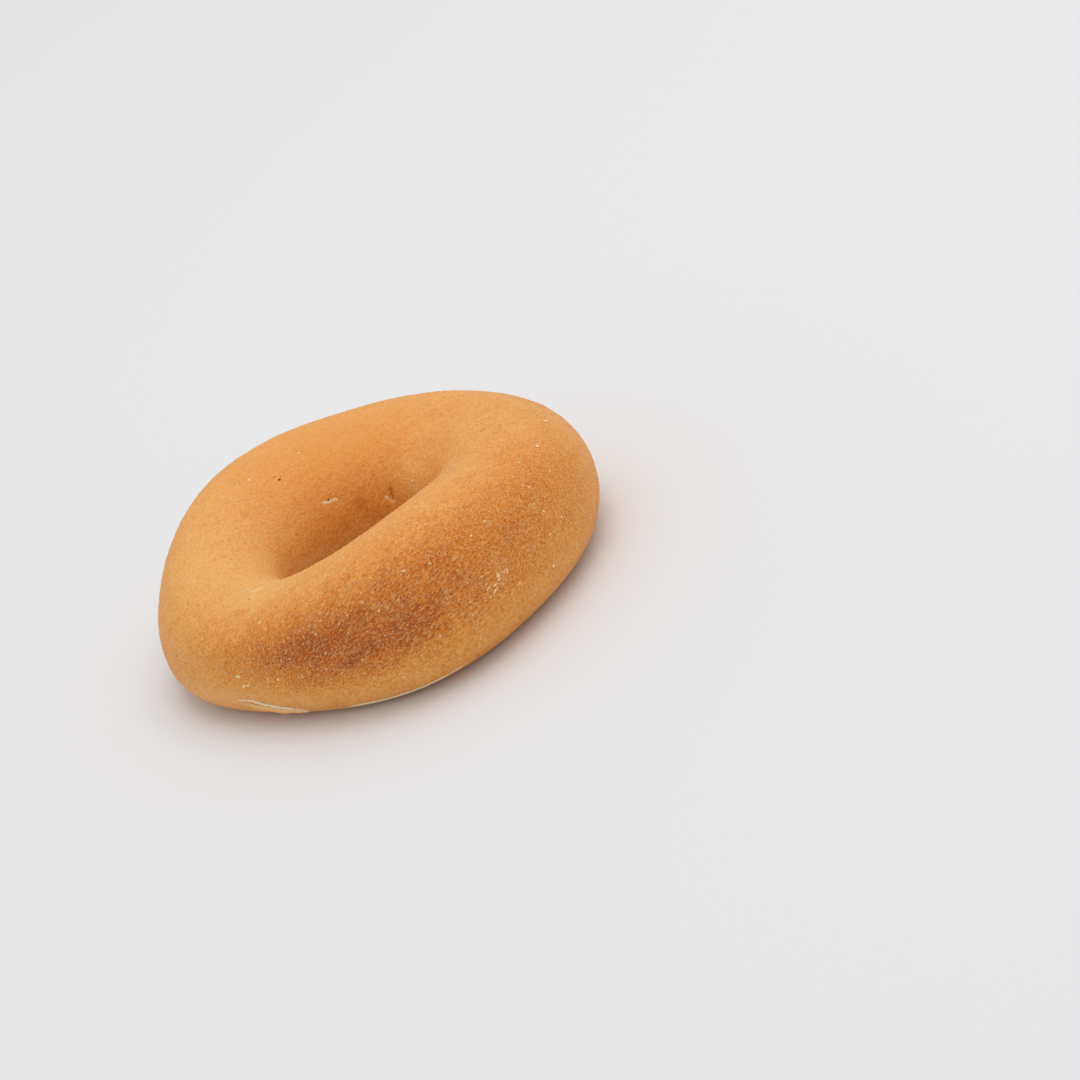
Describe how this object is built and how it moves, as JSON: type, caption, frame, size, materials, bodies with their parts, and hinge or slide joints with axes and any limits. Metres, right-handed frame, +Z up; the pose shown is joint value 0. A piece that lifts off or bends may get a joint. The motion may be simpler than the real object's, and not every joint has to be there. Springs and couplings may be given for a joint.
{
  "type": "bagel",
  "caption": "Plain boiled and baked bagel: a hand-shaped ring of bread with a golden crust, a low rounded wall, a flat baked underside and an oval hole right through.",
  "frame": {"origin": "middle of the ring's outline in plan, on the flat underside that it rests on", "axes": "+Z up out of the flat underside, +X along the longer side of the ring, -Y towards the fuller, browner front"},
  "size_m": [0.1059, 0.1039, 0.0334],
  "materials": {
    "crust": "satin"
  },
  "bodies": {
    "root": {"bagel": "crust"}
  },
  "joints": []
}
